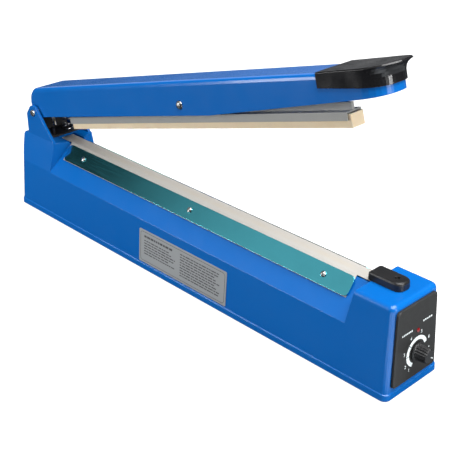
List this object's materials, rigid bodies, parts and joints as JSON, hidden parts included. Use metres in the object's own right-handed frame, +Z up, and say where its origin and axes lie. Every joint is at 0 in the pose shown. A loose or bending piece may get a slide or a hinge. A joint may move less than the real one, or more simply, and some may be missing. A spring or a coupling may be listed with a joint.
{
  "type": "impulse heat sealer",
  "caption": "Bench impulse heat sealer: sprung arm with silicone pressure bar closes on a cloth-covered heating element; timer dial sets the seal time.",
  "frame": {"origin": "on the bench, under the middle of the bounding box", "axes": "+X from the hinge to the control panel, +Y across the machine, +Z up"},
  "size_m": [0.5584, 0.0746, 0.2829],
  "materials": {
    "blue_enamel": "blue gloss enamel",
    "black_plastic": "fine-textured black",
    "panel_black": "satin black with white print",
    "lamp_red": "clear red lens",
    "aluminium": "mill-finish extrusion",
    "cream_silicone": "cream sponge",
    "ptfe_cloth": "coated glass cloth",
    "clamp_alloy": "bright anodised",
    "nichrome": "flat resistance ribbon",
    "insulation": "woven glass tape",
    "label_plate": "printed foil",
    "spring_steel": "oiled spring wire",
    "brass": "machined",
    "plated_steel": "zinc plated",
    "circuit_board": "green laminate",
    "laminations": "stacked sheets",
    "winding": "taped coil",
    "black_rubber": "moulded"
  },
  "bodies": {
    "base": {"arm_stop": "black_rubber", "base_housing": "blue_enamel", "bottom_plate": "plated_steel", "bottom_screw_1": "plated_steel", "bottom_screw_2": "plated_steel", "bottom_screw_3": "plated_steel", "bottom_screw_4": "plated_steel", "clamp_screw_far_1": "plated_steel", "clamp_screw_far_2": "plated_steel", "clamp_screw_far_3": "plated_steel", "clamp_screw_near_1": "plated_steel", "clamp_screw_near_2": "plated_steel", "clamp_screw_near_3": "plated_steel", "clamp_strip_far": "clamp_alloy", "clamp_strip_near": "clamp_alloy", "control_panel": "panel_black", "cord_gland": "black_plastic", "element_end_cover": "black_plastic", "end_cover_screw": "plated_steel", "front_terminal": "brass", "heating_element": "nichrome", "hinge_clip": "plated_steel", "hinge_pin": "plated_steel", "hinge_washer_far": "plated_steel", "hinge_washer_near": "plated_steel", "indicator_lamp": "lamp_red", "insulating_strip": "insulation", "micro_switch": "black_plastic", "potentiometer_nut": "plated_steel", "ptfe_cloth": "ptfe_cloth", "rating_plate": "label_plate", "rear_terminal": "brass", "return_spring": "spring_steel", "rubber_foot_1": "black_rubber", "rubber_foot_2": "black_rubber", "rubber_foot_3": "black_rubber", "rubber_foot_4": "black_rubber", "stop_mat": "black_rubber", "terminal_spring": "spring_steel", "timer_board": "circuit_board", "timer_potentiometer": "plated_steel", "transformer_core": "laminations", "transformer_winding": "winding"},
    "arm": {"arm_channel": "blue_enamel", "handle_cap": "black_plastic", "cap_screw_1": "plated_steel", "cap_screw_2": "plated_steel", "bar_pivot_bolt": "plated_steel", "bar_pivot_nut": "plated_steel", "switch_striker": "plated_steel"},
    "bar": {"pressure_bar": "aluminium", "silicone_strip": "cream_silicone", "bar_hanger": "plated_steel"},
    "plunger": {"switch_plunger": "black_plastic"},
    "knob": {"timer_knob": "black_plastic", "timer_shaft": "brass"}
  },
  "joints": [
    {"name": "arm_hinge", "type": "hinge", "parent": "base", "child": "arm", "pos_m": [-0.25088, 0, 0.1158], "axis": [0, 1, 0], "range_deg": [0, 16.85], "stiffness_Nm_per_rad": 4, "springref_deg": -34.38, "deforming": ["return_spring"]},
    {"name": "bar_rock", "type": "hinge", "parent": "arm", "child": "bar", "pos_m": [-0.00557, 0, 0.18912], "axis": [0, 1, 0], "range_deg": [-1.6, 0.8]},
    {"name": "plunger_press", "type": "slide", "parent": "base", "child": "plunger", "axis": [0, 0, 1], "range_m": [-0.0025, 0]},
    {"name": "knob_turn", "type": "hinge", "parent": "base", "child": "knob", "pos_m": [0.26271, 0, 0.03721], "axis": [0.9993, 0, 0.038], "range_deg": [-14, 274]}
  ],
  "couplings": [
    {"joint": "bar_rock", "follows": "arm_hinge", "ratio": -0.047478},
    {"joint": "plunger_press", "follows": "arm_hinge", "m_per_rad": -0.008492}
  ]
}
